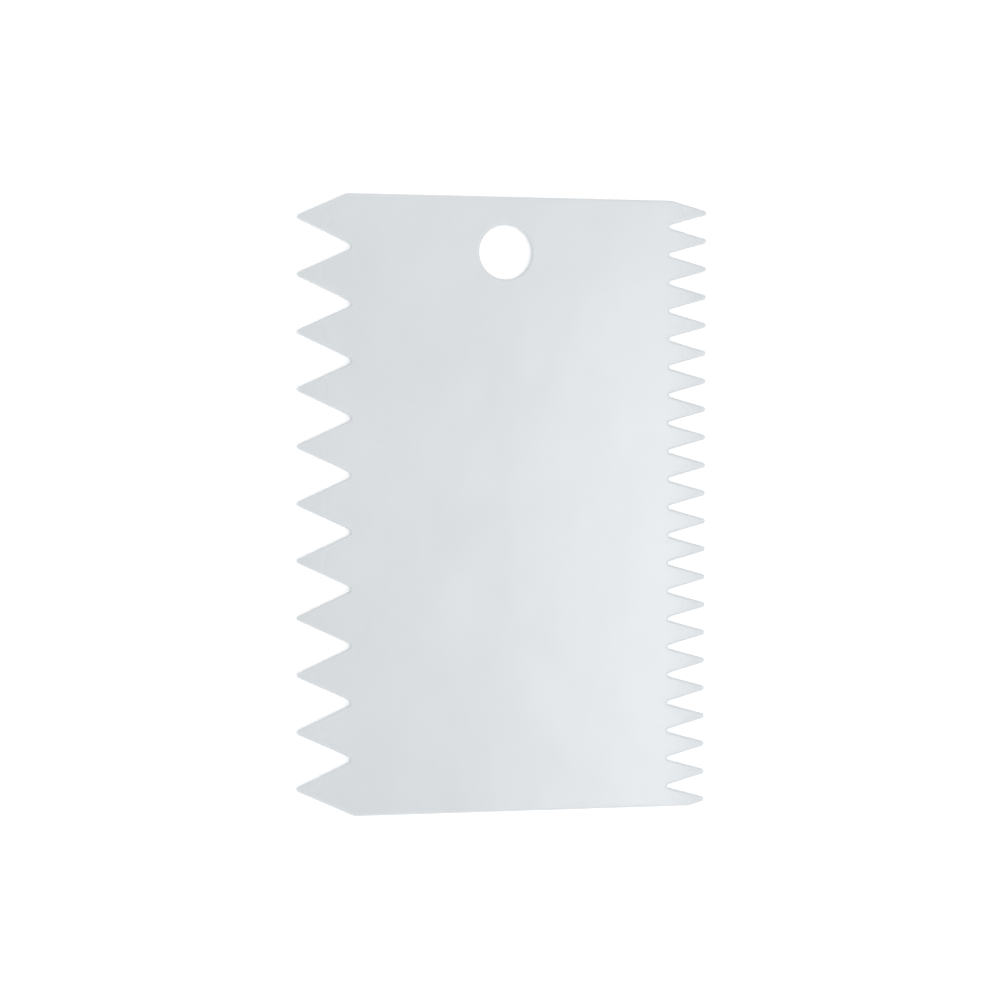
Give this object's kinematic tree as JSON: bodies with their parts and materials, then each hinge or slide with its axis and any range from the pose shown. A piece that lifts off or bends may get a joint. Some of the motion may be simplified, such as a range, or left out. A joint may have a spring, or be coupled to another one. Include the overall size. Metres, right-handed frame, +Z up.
{
  "type": "cake comb",
  "caption": "Flat plastic cake comb with coarse pointed teeth along one side, fine pointed teeth along the other and a round hang hole, for drawing ridges in icing.",
  "frame": {"origin": "on the back face, under the middle of the comb's box", "axes": "+X towards the fine teeth, +Y along the comb towards the end with the hang hole, +Z up out of the front face"},
  "size_m": [0.075, 0.11, 0.0015],
  "materials": {
    "white_plastic": "satin, very slightly cool white, faintly clouded and scuffed from use"
  },
  "bodies": {
    "root": {"comb_plate": "white_plastic"}
  },
  "joints": []
}
